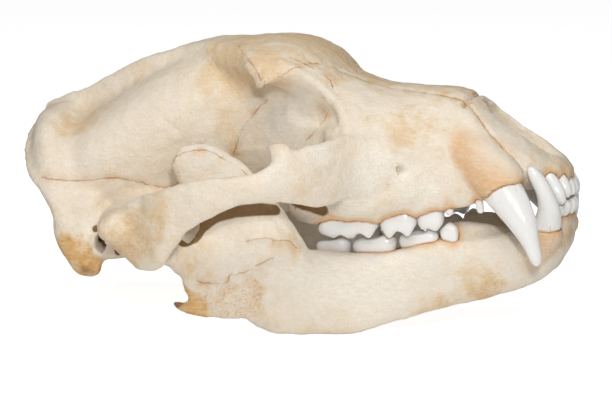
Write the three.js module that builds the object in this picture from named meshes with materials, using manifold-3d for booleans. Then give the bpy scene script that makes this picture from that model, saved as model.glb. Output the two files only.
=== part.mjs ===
// Skull of a brown bear with its lower jaw closed, in millimetres.
// The nose points along +X, the left side is +Y and +Z is up. The skull rests on the flat
// underside of its lower jaw, and the origin is on that surface, at the middle of its length.
import * as THREE from "three";
import { mergeVertices } from "three/addons/utils/BufferGeometryUtils.js";
import Module from "manifold-3d";

const wasm = await Module();
wasm.setup();

// Driving dimensions
const forward = 4; // from the zero that the lengths are counted from to the middle of the skull
const socketGap = 0.7; // between a tooth's root and the bone round it
const restLevel = 0; // the jaw's underside is worn flat at this height

const boneColour = new THREE.Color(0.87, 0.79, 0.64);
const jawColour = new THREE.Color(0.87, 0.8, 0.67);
const enamelColour = new THREE.Color(0.93, 0.92, 0.88);

const upright = new THREE.Vector3(0, 0, 1);
const lengthwise = new THREE.Vector3(1, 0, 0);
const bladeWay = new THREE.Vector3(0.96, 0.28, 0); // the jaw's blades spread towards the back

// A curve through rows of three numbers.
function curve(rows) {
  return new THREE.CatmullRomCurve3(rows.map((row) => new THREE.Vector3(...row)));
}

// Rounds a circle's cosine or sine towards a box: 2 keeps the circle.
function squarer(value, power) {
  return Math.sign(value) * Math.abs(value) ** (2 / power);
}

// A closed body made from a sphere whose rings are spread along a path, one at each station.
// A station is [x, y, z, up, down, side]: a point of the path, and how far the ring reaches
// above, below and to each side of it. The first and last stations are only the end points.
// tallWay is the way that "up" leans to, axis keeps every ring square to one direction instead of
// to the path, and grow makes the body larger by that much all round.
function limb(stations, options = {}) {
  const { around = 10, power = 2, grow = 0, tallWay = upright, axis = null } = options;
  const last = stations.length - 1;
  const path = curve(stations.map((station) => station.slice(0, 3)));
  const shape = new THREE.SphereGeometry(1, around, last);
  const place = shape.attributes.position;
  const side = new THREE.Vector3();
  const tall = new THREE.Vector3();
  const point = new THREE.Vector3();
  for (let i = 0; i < place.count; i++) {
    point.fromBufferAttribute(place, i);
    const ring = Math.round((Math.acos(THREE.MathUtils.clamp(point.y, -1, 1)) / Math.PI) * last);
    const angle = Math.atan2(point.z, point.x);
    const [x, y, z, up, down, wide] = stations[ring];
    const tangent = axis ?? path.getTangent(ring / last);
    side.crossVectors(tangent, tallWay).normalize();
    tall.crossVectors(side, tangent).normalize();
    point.set(x, y, z);
    if (ring === 0) point.addScaledVector(tangent, -grow);
    else if (ring === last) point.addScaledVector(tangent, grow);
    else {
      const reach = (Math.cos(angle) > 0 ? up : down) + grow;
      point.addScaledVector(tall, squarer(Math.cos(angle), power) * reach);
      point.addScaledVector(side, squarer(Math.sin(angle), power) * (wide + grow));
    }
    place.setXYZ(i, point.x, point.y, point.z);
  }
  return shape;
}

// A ball with three radii.
function ball(centre, radii, around = 12, along = 8) {
  return new THREE.SphereGeometry(1, around, along).scale(...radii).translate(...centre);
}

// A closed three.js shape as a manifold-3d solid, turned to face outwards.
function solid(shape) {
  const bare = shape.clone();
  bare.deleteAttribute("normal");
  bare.deleteAttribute("uv");
  const merged = mergeVertices(bare, 1e-3);
  const vertices = merged.attributes.position.array;
  const corners = new Uint32Array(merged.index.array);
  const a = new THREE.Vector3();
  const b = new THREE.Vector3();
  const c = new THREE.Vector3();
  let volume = 0;
  for (let i = 0; i < corners.length; i += 3) {
    a.fromArray(vertices, 3 * corners[i]);
    b.fromArray(vertices, 3 * corners[i + 1]);
    c.fromArray(vertices, 3 * corners[i + 2]);
    volume += a.dot(b.cross(c));
  }
  if (volume < 0) {
    for (let i = 0; i < corners.length; i += 3) {
      [corners[i + 1], corners[i + 2]] = [corners[i + 2], corners[i + 1]];
    }
  }
  return new wasm.Manifold(
    new wasm.Mesh({ numProp: 3, vertProperties: vertices, triVerts: corners }),
  );
}

function mirrored(shape) {
  return shape.clone().scale(1, -1, 1);
}

function joined(solids) {
  return solids.reduce((whole, piece) => whole.add(piece));
}

// A shape of the right side and its mirror image, as solids.
function pair(shape) {
  return [solid(shape), solid(mirrored(shape))];
}

function geometryOf(whole) {
  const mesh = whole.getMesh();
  const shape = new THREE.BufferGeometry();
  const place = new Float32Array(mesh.numVert * 3);
  for (let i = 0; i < mesh.numVert; i++) {
    place.set(mesh.vertProperties.subarray(i * mesh.numProp, i * mesh.numProp + 3), 3 * i);
  }
  shape.setAttribute("position", new THREE.BufferAttribute(place, 3));
  shape.setIndex(new THREE.BufferAttribute(mesh.triVerts, 1));
  shape.computeVertexNormals();
  return shape;
}

// Teeth. Each is one body: a root in its socket and a crown past the gum line.
// The stations run from the root's end to the crown's tip, for the right side.
const slimTeeth = {
  upper_incisor_1: [[149, -3.3, 101], [158, -3.6, 96.6, 4, 4, 2.6], [163.4, -4, 89.6, 3.8, 3.8, 3.4],
    [166.4, -4.2, 83.4]],
  upper_incisor_2: [[147, -9.4, 101], [156, -11, 96.6, 4.4, 4.4, 2.8],
    [161.8, -12.2, 89.4, 4.1, 4.1, 3.6], [164.8, -12.8, 83]],
  upper_incisor_3: [[143, -15, 101], [152.4, -18.6, 94, 5, 5, 3.8], [158, -20.4, 87.6, 4.4, 4.4, 3.8],
    [162, -21, 80]],
  upper_canine: [[96, -24, 122], [110, -30.5, 108, 10, 10, 7], [129, -36, 89, 11.8, 11, 8.6],
    [142, -40, 71.5, 8.8, 7.8, 6.8], [149, -42.6, 57, 4.8, 4.2, 4], [152.6, -44, 47.2]],
  upper_premolar_1: [[114.6, -33, 88], [115.6, -33.4, 81, 2.4, 2.4, 2],
    [116.4, -33.8, 77.4, 2.3, 2.3, 2], [116.8, -34, 74.6]],
  upper_premolar_3: [[96.6, -32.6, 86], [97.4, -33, 79, 2.6, 2.6, 2.2],
    [98, -33.4, 75.4, 2.5, 2.5, 2.2], [98.2, -33.6, 72.4]],
  lower_incisor_1: [[152, -2.8, 62], [159, -3.1, 70.6, 3.4, 3.4, 2.4], [163, -3.5, 77, 3.1, 3.1, 2.8],
    [164.6, -3.6, 81.8]],
  lower_incisor_2: [[150, -8, 62], [157, -9, 70.6, 3.6, 3.6, 2.5], [161.4, -10, 76.8, 3.3, 3.3, 3],
    [163, -10.4, 81.6]],
  lower_incisor_3: [[147.4, -12.4, 62], [154.6, -14.2, 70.4, 3.6, 3.6, 2.5],
    [158.6, -16, 76, 3.4, 3.4, 2.8], [160, -16.6, 80]],
  lower_canine: [[128, -16, 38], [141, -18.6, 48, 7, 7, 5.4], [151.6, -23.4, 64, 8.6, 8.6, 7],
    [155.2, -28, 77, 6.8, 6.8, 5.8], [152.6, -32.4, 90, 4.8, 4.8, 4.4], [144.8, -36.4, 103.6]],
};

// Cheek teeth: centre of the crown at the gum line, length, width, height of the crown and
// the cusps as [along, outwards, rise] from the centre of the chewing surface.
const cheekTeeth = {
  upper_premolar_4: {
    at: [85.8, -31.5, 75], size: [15.6, 11.5, 8.5],
    cusps: [[2.5, 2.5, 4], [-4.5, 2, 2.5], [-3, -3, 1]],
  },
  upper_molar_1: {
    at: [67.4, -34, 71.5], size: [21.4, 16, 8],
    cusps: [[5.6, 5, 4.6], [-5.4, 5, 4.4], [5, -4.5, 1], [-5, -4.5, 1]],
  },
  upper_molar_2: {
    at: [37.6, -35, 67.4], size: [36.6, 17, 7.2],
    cusps: [[12.5, 5, 4.6], [1.5, 5, 4], [-9, 4.5, 2], [8, -4.5, 0.8], [-6, -4.5, 0.6]],
  },
  lower_premolar_4: { at: [97.4, -28.8, 58.8], size: [10.4, 7.4, 5.6], cusps: [[0.6, 0, 4]] },
  lower_molar_1: {
    at: [79.6, -29.6, 53.8], size: [23.6, 10.4, 6.2],
    cusps: [[7.5, 0, 3], [0, -1, 2.6], [-7, 1, 1.6], [-7, -2, 1.6]],
  },
  lower_molar_2: {
    at: [53.2, -31, 49.4], size: [26.2, 13, 7.4],
    cusps: [[7, 2, 1.6], [7, -3, 1.6], [-6, 2, 1.2], [-6, -3, 1.2]],
  },
  lower_molar_3: { at: [28.2, -31.4, 48], size: [20.6, 12.4, 6.8], cusps: [[5, 0, 1], [-4, 0, 0.6]] },
};
const rowSlope = THREE.MathUtils.degToRad(8.6); // the chewing surfaces rise towards the front
const rootDepth = 9;

function slimTooth(stations, grow = 0) {
  return limb(stations, { around: stations.length > 4 ? 7 : 6, tallWay: lengthwise, grow });
}

// A cheek tooth: a squarish body whose far end is raised into cusps. flip is 1 for a lower
// tooth, whose crown points up, and -1 for an upper one.
function cheekTooth({ at, size, cusps }, flip, grow = 0) {
  const [long, wide, high] = size;
  const heights = [-rootDepth - grow, -0.7 * rootDepth, 0.2 * high, 0.8 * high, high, high - 0.8];
  const girth = [0, 0.72, 1, 0.97, 0.7, 0];
  const last = heights.length - 1;
  const shape = new THREE.SphereGeometry(1, 8, last);
  const place = shape.attributes.position;
  const point = new THREE.Vector3();
  for (let i = 0; i < place.count; i++) {
    point.fromBufferAttribute(place, i);
    const ring = Math.round((Math.acos(THREE.MathUtils.clamp(-point.y, -1, 1)) / Math.PI) * last);
    const angle = Math.atan2(point.z, point.x);
    const more = girth[ring] > 0 ? grow : 0;
    const x = squarer(Math.cos(angle), 2.9) * (0.5 * long * girth[ring] + more);
    const y = squarer(Math.sin(angle), 2.9) * (0.5 * wide * girth[ring] + more);
    let z = heights[ring];
    if (ring > 2) {
      for (const [along, out, rise] of cusps) {
        z += rise * Math.exp(-(((x - along) / 4.2) ** 2) - ((y + out) / 3.6) ** 2);
      }
    }
    place.setXYZ(i, x, y, z * flip);
  }
  return shape.rotateY(-rowSlope).translate(...at);
}

// The bones of the cranium, unbroken by sockets and openings.
function craniumForms() {
  const braincase = limb(
    [
      [-158, 0, 88], [-148, 0, 88, 28, 34, 43], [-128, 0, 90, 38.6, 46, 53.5],
      [-106, 0, 95, 47, 48, 52], [-84, 0, 102, 52, 50, 48], [-62, 0, 108, 55, 48, 42],
      [-42, 0, 114, 53, 44, 35], [-20, 0, 118, 51, 42, 33], [30, 0, 118, 34, 40, 40],
      [52, 0, 110, 20, 30, 30],
    ],
    { around: 10, axis: lengthwise, power: 2.15 },
  );
  const backPlate = limb(
    [
      [-168, 0, 106], [-165, 0, 106, 20, 14, 34], [-159, 0, 100, 28, 24, 48],
      [-149, 0, 90, 38, 34, 58], [-136, 0, 80, 34, 38, 60], [-120, 0, 72, 18, 28, 50],
      [-106, 0, 70],
    ],
    { around: 8, axis: lengthwise, power: 2.3 },
  );
  const face = limb(
    [
      [24, 0, 110], [32, 0, 110, 43, 32, 51], [44, 0, 107, 40, 25, 53.5],
      [56, 0, 104, 41.5, 22, 47.5], [72, 0, 101, 44, 17, 42.5], [90, 0, 99, 46, 14, 39],
      [106, 0, 98, 42, 14, 38], [120, 0, 98, 32, 14, 37], [134, 0, 98, 22.4, 13, 34],
      [146, 0, 98, 14, 11, 28], [155, 0, 97.5, 9, 9, 20], [161, 0, 97],
    ],
    { around: 8, axis: lengthwise, power: 2.3 },
  );
  const brow = limb(
    [
      [-98, 0, 149], [-58, 0, 158, 13, 12, 19], [-36, 0, 158, 15, 14, 33],
      [-22, 0, 156, 18, 14, 46], [-8, 0, 153, 21, 12, 53], [4, 0, 150, 21.6, 12, 52],
      [18, 0, 141, 23, 13, 46], [32, 0, 132, 20, 14, 38], [50, 0, 124],
    ],
    { around: 8, axis: lengthwise, power: 2.05 },
  );
  const browSpike = limb(
    [
      [-14, -34, 161], [-13, -43, 158.6, 12, 13, 5], [-10.6, -50, 152.6, 7.6, 8, 3.4],
      [-8, -54.8, 145, 4, 4.2, 2.2], [-6.4, -57.2, 138],
    ],
    { around: 6, tallWay: lengthwise },
  );
  const sagittalCrest = limb(
    [
      [-174.6, 0, 118], [-168, 0, 116.6, 14, 14, 4], [-146, 0, 124, 13.6, 22, 5.2],
      [-124, 0, 137, 11.6, 22, 5.8], [-98, 0, 149, 10.4, 16, 7.2], [-70, 0, 157, 9.6, 10, 9],
      [-46, 0, 160],
    ],
    { around: 6, axis: lengthwise },
  );
  const nuchalCrest = limb(
    [
      [-164, 8, 117], [-167, -12, 112, 7.6, 13, 4.6], [-164, -30, 103, 8, 15, 4.4],
      [-157, -46, 93, 8, 15, 4.4], [-146, -55, 83, 6.4, 13, 4.6], [-137, -60, 72, 5.6, 12, 5],
      [-131, -62, 60, 6, 10, 6], [-122, -62, 52],
    ],
    { around: 6, tallWay: new THREE.Vector3(-1, -0.35, 0.2) },
  );
  const mastoid = limb(
    [
      [-126, -50, 82], [-126, -56, 68, 15, 14, 8.4], [-124.6, -59.4, 57, 13.4, 15.6, 8.4],
      [-121.6, -61.4, 46, 12.2, 13.6, 7.8], [-118.6, -61.4, 36.6, 9.4, 10.4, 6.2],
      [-117, -60.8, 31, 6, 6, 3.6], [-116, -60.6, 28.6],
    ],
    { around: 7, tallWay: lengthwise, axis: upright, power: 2.3 },
  );
  const earTube = limb(
    [
      [-98, -34, 51], [-102, -46, 50, 11, 11, 12], [-105, -58, 49.6, 9.4, 9.6, 10],
      [-107, -66, 50.4, 7.4, 7.6, 8], [-108, -70, 51],
    ],
    { around: 6 },
  );
  const condyle = ball([-143, -20, 53], [12.5, 14, 16], 8, 5);
  const bulla = ball([-93, -34, 50], [20, 17, 9], 8, 4);
  const glenoidShelf = limb(
    [
      [-86, -30, 68], [-85, -50, 65, 14, 10, 23], [-84, -70, 63, 13, 9.6, 23],
      [-82, -86, 63, 12, 9, 18], [-78, -95, 64],
    ],
    { around: 6, power: 2.3 },
  );
  const behindJoint = limb(
    [
      [-78, -38, 54], [-78, -54, 47, 9, 12, 5.6], [-78, -72, 47, 9, 10, 5.6], [-80, -86, 55],
    ],
    { around: 6 },
  );
  const arch = limb(
    [
      [-106, -68, 64], [-98, -76, 63.4, 6, 6.6, 5], [-90, -81.5, 62.6, 11, 12, 5.8],
      [-80, -86.5, 62.4, 17.4, 18, 6.6], [-68, -90, 63.6, 21.4, 23.4, 6.4],
      [-57, -95.5, 70, 19, 18.6, 5.6], [-47, -99, 77, 15, 14.6, 5],
      [-32, -101, 85, 12.4, 12.8, 4.8], [-12, -100, 91, 8.8, 10, 4.6], [4, -95, 93, 10, 9, 4.8],
      [18, -85, 96, 16, 14, 5.6], [31, -70, 97, 20, 18, 7.4], [43, -53.5, 98, 21.6, 15, 8],
      [57, -43.5, 99, 20, 18, 8.4], [84, -34, 99],
    ],
    { around: 8, power: 2.4 },
  );
  const cheekSpike = limb(
    [
      [22, -84, 98], [13, -86, 110, 7, 7, 4], [10, -84.4, 117, 4.4, 4.4, 3.4], [10, -83.6, 123],
    ],
    { around: 6, tallWay: lengthwise },
  );
  const toothRidge = limb(
    [
      [2, -31, 80], [14, -33.6, 76, 12, 12.4, 8.4], [36, -35.4, 84, 18, 21, 9.8],
      [58, -35, 88, 18, 21.6, 9.6], [80, -32.6, 92, 18, 20.4, 8.6], [102, -31, 95, 16, 18.4, 7],
      [124, -31, 97],
    ],
    { around: 7, power: 3.4 },
  );
  const molarBulge = limb(
    [
      [26, -38, 82], [38, -44, 82, 13, 11, 6.4], [52, -44, 84, 15, 13, 7],
      [68, -40.6, 88, 15, 13, 7], [88, -36, 92],
    ],
    { around: 6, power: 2.4 },
  );
  const canineSwell = limb(
    [
      [94, -21, 123], [110, -29, 109.6, 13.6, 13, 10], [124, -33.4, 96, 15, 13.6, 10.4],
      [129, -35, 90, 14.4, 13, 10.2], [132, -36, 85.6],
    ],
    { around: 7, tallWay: lengthwise },
  );
  const palateWing = limb(
    [
      [24, -22, 82], [4, -19, 78, 10, 9, 4.6], [-18, -17, 74, 11, 10, 3.2],
      [-40, -16, 69, 12, 11, 3], [-60, -16, 60],
    ],
    { around: 6 },
  );
  const incisorShelf = limb(
    [
      [134, 0, 99], [146, 0, 98, 8, 10, 25], [154, 0, 97, 7.6, 8.8, 20.5],
      [160, 0, 96, 5.4, 6.4, 13.5], [164.4, 0, 95],
    ],
    { around: 8, axis: lengthwise, power: 2.5 },
  );
  const middle = [braincase, backPlate, face, brow, sagittalCrest, incisorShelf];
  const rear = [nuchalCrest, mastoid, earTube, condyle, bulla, glenoidShelf, behindJoint];
  const front = [browSpike, arch, cheekSpike, toothRidge, molarBulge, canineSwell, palateWing];
  return joined([...middle.map(solid), ...rear.flatMap(pair), ...front.flatMap(pair)]);
}

// What is hollow in the cranium.
function craniumHollows() {
  const eyeSocket = ball([8, -64, 131], [34, 33, 20], 10, 5);
  const browHollow = ball([14, -64, 138], [22, 23, 19], 8, 4);
  const noseHollow = limb(
    [
      [76, 0, 118], [92, 0, 118, 12, 11, 11], [108, 0, 120, 15.6, 15, 12],
      [126, 0, 122, 20, 18, 14], [146, 0, 122, 22, 18, 12.5], [176, 0, 122],
    ],
    { around: 8, axis: lengthwise, power: 2.4 },
  );
  const brainHollow = limb(
    [
      [-152, 0, 76], [-139, 0, 83, 33, 32, 40], [-118, 0, 90, 44, 42, 48],
      [-84, 0, 100, 48, 42, 44], [-56, 0, 110, 50, 41, 37], [-32, 0, 116, 46, 27, 27], [-8, 0, 122],
    ],
    { around: 7, axis: lengthwise, power: 2.1 },
  );
  const windpipe = limb(
    [
      [18, 0, 84], [4, 0, 81, 8, 14, 13], [-18, 0, 75, 7, 16, 11.4], [-46, 0, 60],
    ],
    { around: 8, power: 2.6 },
  );
  const nape = ball([-186, 0, 84], [30, 49, 34], 8, 4);
  const spinalHole = ball([-152, 0, 64], [30, 14, 13.6], 8, 4);
  const earHole = limb([[-108, -76, 51], [-105, -64, 52, 7, 7, 5], [-102, -48, 56]], { around: 6 });
  const cheekHole = limb(
    [
      [94, -49.5, 94], [77, -46, 98, 3.6, 3.6, 2.2], [60, -41.6, 102, 3.6, 3.6, 2.2], [42, -34, 108],
    ],
    { around: 6 },
  );
  const jawJoint = limb(
    [
      [-60, -38, 46], [-60, -50, 47, 10.8, 10.8, 10.8], [-60, -76, 48, 10.8, 10.8, 10.8],
      [-60, -84.6, 48],
    ],
    { around: 8 },
  );
  return joined([
    ...[noseHollow, brainHollow, windpipe, spinalHole, nape].map(solid),
    ...[eyeSocket, browHollow, earHole, cheekHole, jawJoint].flatMap(pair),
  ]);
}

function jawForms() {
  const body = limb(
    [
      [-28, -62, 33], [-10, -59, 27, 21, 23, 7], [-3, -55.8, 24, 23.6, 25, 8.8],
      [20, -46, 24, 26, 25, 10.4], [42, -39.5, 24.6, 24, 24, 10.8], [66, -34, 31, 20, 22.8, 10.8],
      [88, -29.4, 37, 20.6, 21.8, 10.2], [113, -23.4, 42.4, 17, 20.8, 9.8],
      [138, -15.4, 48.6, 17.4, 19.4, 10.4], [152, -10.6, 54, 16, 17.2, 11],
      [160.6, -7, 60, 12.4, 13, 9.6], [166, -3, 66],
    ],
    { around: 8, axis: lengthwise, power: 2.6 },
  );
  const innerLip = limb(
    [
      [90, -25, 54], [99, -22, 60.6, 6.4, 9, 5], [110, -19, 61.6, 6, 9, 5],
      [124, -15, 59.6, 5, 8, 5], [138, -12, 58],
    ],
    { around: 6 },
  );
  const chin = limb(
    [
      [104, 0, 46], [118, 0, 46, 15, 16, 14], [134, 0, 50, 15, 18, 16], [151, 0, 56, 15, 17.2, 15],
      [160, 0, 63, 10.4, 12, 11], [166.4, 0, 68],
    ],
    { around: 8, axis: lengthwise, power: 2.4 },
  );
  const canineSeat = limb(
    [
      [124, -15, 38], [141, -18, 50, 11.6, 11.6, 9.8], [152.4, -22.6, 64, 10.8, 10.8, 9.4],
      [154, -23.6, 69],
    ],
    { around: 7, tallWay: lengthwise },
  );
  const blade = limb(
    [
      [-46, -59, 112.6], [-44.6, -59.4, 108.8, 11.6, 13.4, 2.6], [-39.6, -60, 101, 20.4, 22.8, 3.8],
      [-32.4, -60, 90, 25.4, 26.6, 4.6], [-23, -60, 77, 26.5, 25, 5.4], [-19, -60, 64, 31, 27, 6.2],
      [-16, -60, 52, 35, 36, 6.6], [-17, -61.2, 32, 30, 38, 6.4],
      [-19, -62.6, 20, 25, 30, 6], [-20, -63.4, 12.4, 19, 23, 4], [-20, -63.6, 10.6],
    ],
    { around: 8, tallWay: bladeWay, axis: upright, power: 2.3 },
  );
  const joint = limb(
    [
      [-60, -40, 46.5], [-60, -50, 47.4, 9.2, 9.2, 9.2], [-60, -68, 48, 9, 9, 9],
      [-60, -76, 48.4, 6.6, 6.6, 6.6], [-60, -81, 49],
    ],
    { around: 6 },
  );
  const jointNeck = limb(
    [
      [-62, -66, 46], [-52, -65, 44, 8, 11, 10], [-38, -63.6, 44, 13, 14, 7], [-24, -62, 46],
    ],
    { around: 6 },
  );
  const hook = limb(
    [
      [-24, -65, 18], [-40, -68.6, 16.4, 7, 6, 4.4], [-50, -71, 15.8, 3.8, 3.2, 3.2],
      [-55, -72.4, 17.4, 2.6, 2.4, 2.6], [-59, -73.8, 20],
    ],
    { around: 6 },
  );
  const halves = [body, innerLip, canineSeat, blade, joint, jointNeck, hook];
  const shape = joined([solid(chin), ...halves.flatMap(pair)]);
  const chewingHollow = ball([-20, -78, 66], [32, 15.4, 24], 8, 4);
  const floor = new THREE.BoxGeometry(400, 300, 40).translate(0, 0, restLevel - 20);
  return shape.subtract(joined(pair(chewingHollow))).subtract(solid(floor));
}

// Bones and teeth, and each tooth's socket.
const skull = new THREE.Group();
const bone = { roughness: 0.7, metalness: 0 };
const enamel = { color: enamelColour, roughness: 0.3, metalness: 0 };

function addPiece(name, shape, look) {
  const mesh = new THREE.Mesh(shape, new THREE.MeshStandardMaterial(look));
  mesh.name = name;
  skull.add(mesh);
}

const sockets = { upper: [], lower: [] };
for (const [kind, make] of [
  ...Object.entries(slimTeeth).map(([name, stations]) => [name, (grow) => slimTooth(stations, grow)]),
  ...Object.entries(cheekTeeth).map(([name, tooth]) => [
    name,
    (grow) => cheekTooth(tooth, name.startsWith("upper") ? -1 : 1, grow),
  ]),
]) {
  const jawName = kind.startsWith("upper") ? "upper" : "lower";
  const [right, left] = pair(make(0));
  addPiece(`${kind}_right`, geometryOf(right), enamel);
  addPiece(`${kind}_left`, geometryOf(left), enamel);
  sockets[jawName].push(...pair(make(socketGap)));
}

const cranium = craniumForms().subtract(craniumHollows()).subtract(joined(sockets.upper));
const jaw = jawForms().subtract(joined(sockets.lower));
addPiece("cranium", geometryOf(cranium), { color: boneColour, ...bone });
addPiece("mandible", geometryOf(jaw), { color: jawColour, ...bone });
skull.position.set(forward, 0, 0);

export default skull;
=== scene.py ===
import math
import bmesh
import bpy
import numpy as np
from mathutils import Matrix, Vector, noise
from mathutils.bvhtree import BVHTree


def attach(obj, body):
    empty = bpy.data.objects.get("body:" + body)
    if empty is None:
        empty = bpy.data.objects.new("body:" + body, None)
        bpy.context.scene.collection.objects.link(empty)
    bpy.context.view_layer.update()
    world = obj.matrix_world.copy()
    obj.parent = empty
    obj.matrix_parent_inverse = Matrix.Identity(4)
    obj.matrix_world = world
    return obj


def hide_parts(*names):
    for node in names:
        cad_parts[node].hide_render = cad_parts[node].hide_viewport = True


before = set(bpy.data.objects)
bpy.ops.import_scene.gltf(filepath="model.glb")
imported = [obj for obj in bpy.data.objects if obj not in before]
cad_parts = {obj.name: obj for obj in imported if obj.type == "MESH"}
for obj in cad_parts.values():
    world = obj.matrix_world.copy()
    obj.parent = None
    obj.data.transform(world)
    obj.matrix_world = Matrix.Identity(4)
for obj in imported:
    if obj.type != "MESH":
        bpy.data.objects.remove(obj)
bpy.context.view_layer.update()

# Shapes are worked out in millimetres, with the skull's own zero for x, and placed at the end:
# x runs to the nose, y to the animal's left, z up from the table. Forms are of the right side,
# and most are mirrored.
skull = {"forward": 4.0, "metres": 0.001, "sharpAngle": 50, "socketGap": 0.25}
upright = Vector((0, 0, 1))
lengthwise = Vector((1, 0, 0))
bladeWay = Vector((0.96, 0.28, 0))  # the jaw's upright blades spread towards the back


# Shaping tools

def splineAt(rows, u):
    last = len(rows) - 1
    i = min(int(u), last - 1)
    s = u - i
    p1, p2 = rows[i], rows[i + 1]
    p0 = rows[i - 1] if i > 0 else 2 * p1 - p2
    p3 = rows[i + 2] if i + 2 <= last else 2 * p2 - p1
    bend = 2 * p0 - 5 * p1 + 4 * p2 - p3
    twist = 3 * p1 - p0 - 3 * p2 + p3
    return 0.5 * (2 * p1 + (p2 - p0) * s + bend * s ** 2 + twist * s ** 3)


def squarer(value, power):
    return math.copysign(abs(value) ** (2 / power), value)


def addLimb(bm, stations, power=2.0, tallWay=upright, axis=None, both=True, around=28, perStation=5):
    last = len(stations) - 1
    rows = [np.array(s, float) for s in stations]
    path = [r[:3] for r in rows]
    girth = [rows[1][3:]] + [r[3:] for r in rows[1:-1]] + [rows[-2][3:]]
    rings = last * perStation
    made = bmesh.ops.create_uvsphere(bm, u_segments=around, v_segments=rings, radius=1.0)
    ringForms = {}
    for vert in made["verts"]:
        ring = round(math.acos(max(-1.0, min(1.0, vert.co.z))) / math.pi * rings)
        if ring not in ringForms:
            u = last * ring / rings
            point = Vector(splineAt(path, u))
            ahead = Vector(splineAt(path, min(u + 0.05, last)))
            behind = Vector(splineAt(path, max(u - 0.05, 0)))
            tangent = axis or (ahead - behind).normalized()
            side = tangent.cross(tallWay).normalized()
            fromEnd = min(u, last - u, 1.0)
            dome = math.sqrt(max(0.0, 1 - (1 - fromEnd) ** 2))
            ringForms[ring] = (point, side, side.cross(tangent), splineAt(girth, u) * dome)
        point, side, tall, size = ringForms[ring]
        angle = math.atan2(vert.co.y, vert.co.x)
        reach = size[0] if math.cos(angle) > 0 else size[1]
        vert.co = point + tall * (squarer(math.cos(angle), power) * reach)
        vert.co += side * (squarer(math.sin(angle), power) * size[2])
    if both:
        mirrorForm(bm, made["verts"])


def addBall(bm, centre, radii, turn=0.0, both=True):
    made = bmesh.ops.create_uvsphere(bm, u_segments=32, v_segments=20, radius=1.0)
    seat = Matrix.Translation(centre) @ Matrix.Rotation(math.radians(turn), 4, "Y")
    bmesh.ops.transform(bm, matrix=seat @ Matrix.Diagonal((*radii, 1.0)), verts=made["verts"])
    if both:
        mirrorForm(bm, made["verts"])


def mirrorForm(bm, verts):
    faces = list({face for vert in verts for face in vert.link_faces})
    copy = bmesh.ops.duplicate(bm, geom=faces)["geom"]
    copyVerts = [item for item in copy if isinstance(item, bmesh.types.BMVert)]
    copyFaces = [item for item in copy if isinstance(item, bmesh.types.BMFace)]
    bmesh.ops.transform(bm, matrix=Matrix.Diagonal((1, -1, 1, 1)), verts=copyVerts)
    bmesh.ops.reverse_faces(bm, faces=copyFaces)


def makePiece(name, bm):
    bmesh.ops.recalc_face_normals(bm, faces=bm.faces)
    mesh = bpy.data.meshes.new(name)
    bm.to_mesh(mesh)
    bm.free()
    piece = bpy.data.objects.new(name, mesh)
    bpy.context.scene.collection.objects.link(piece)
    return piece


def applyAll(piece):
    graph = bpy.context.evaluated_depsgraph_get()
    finished = bpy.data.meshes.new_from_object(piece.evaluated_get(graph))
    piece.modifiers.clear()
    piece.data = finished


def remesh(piece, size):
    change = piece.modifiers.new("remesh", "REMESH")
    change.mode = "VOXEL"
    change.voxel_size = size
    change.adaptivity = 0
    applyAll(piece)


def cut(piece, cutter):
    change = piece.modifiers.new("cut", "BOOLEAN")
    change.operation = "DIFFERENCE"
    change.solver = "MANIFOLD"
    change.object = cutter
    applyAll(piece)
    bpy.data.objects.remove(cutter)


def points(piece):
    co = np.empty(len(piece.data.vertices) * 3)
    piece.data.vertices.foreach_get("co", co)
    return co.reshape(-1, 3)


def setPoints(piece, co):
    piece.data.vertices.foreach_set("co", co.ravel())
    piece.data.update()


def normals(piece):
    nor = np.empty(len(piece.data.vertices) * 3, np.float32)
    piece.data.vertex_normals.foreach_get("vector", nor)
    return nor.reshape(-1, 3).astype(float)


def edgeEnds(piece):
    edges = np.empty(len(piece.data.edges) * 2, int)
    piece.data.edges.foreach_get("vertices", edges)
    return edges.reshape(-1, 2).T


def neighbourMean(values, a, b):
    total = np.bincount(a, values[b], len(values)) + np.bincount(b, values[a], len(values))
    count = np.bincount(a, minlength=len(values)) + np.bincount(b, minlength=len(values))
    return total / np.maximum(count, 1)


def smoothPoints(co, a, b, rounds):
    for _ in range(rounds):
        co = np.stack([neighbourMean(co[:, axis], a, b) for axis in range(3)], axis=1)
    return co


def relax(piece, rounds, strength=0.5):
    a, b = edgeEnds(piece)
    co = points(piece)
    for turn in range(rounds):
        move = smoothPoints(co, a, b, 1) - co
        co = co + move * (strength if turn % 2 == 0 else -strength * 0.98)
    setPoints(piece, co)


def soften(piece, centres, rounds):
    a, b = edgeEnds(piece)
    co = points(piece)
    share = spots(rightSide(co), centres)[:, None]
    setPoints(piece, co * (1 - share) + smoothPoints(co, a, b, rounds) * share)


def hollowness(piece, rounds, depth):
    a, b = edgeEnds(piece)
    co = points(piece)
    inward = np.sum((smoothPoints(co, a, b, rounds) - co) * normals(piece), axis=1)
    return np.clip(inward / depth, -1, 1)


def swell(piece, amount):
    setPoints(piece, points(piece) + normals(piece) * amount)


def fillet(piece, amount, size):
    swell(piece, amount)
    remesh(piece, size)
    swell(piece, -amount)
    remesh(piece, size)


def rightSide(co):
    mirrored = co.copy()
    mirrored[:, 1] = -np.abs(co[:, 1])
    return mirrored


def distanceTo(co, path):
    near = np.full(len(co), 1e6)
    path = np.array(path, float)
    for a, b in zip(path[:-1], path[1:]):
        along = b - a
        s = np.clip((co - a) @ along / (along @ along), 0, 1)
        near = np.minimum(near, np.linalg.norm(co - a - s[:, None] * along, axis=1))
    return near


def falloff(distance, width):
    return np.clip(1 - (distance / width) ** 2, 0, 1) ** 2


# A line given by a few points, drawn as a curve and laid on the surface.
def surfaceLine(tree, path, perPoint=3):
    rows = [np.array(point, float) for point in path]
    count = perPoint * (len(rows) - 1)
    return [tuple(tree.find_nearest(Vector(splineAt(rows, i / perPoint)))[0]) for i in range(count + 1)]


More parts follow.
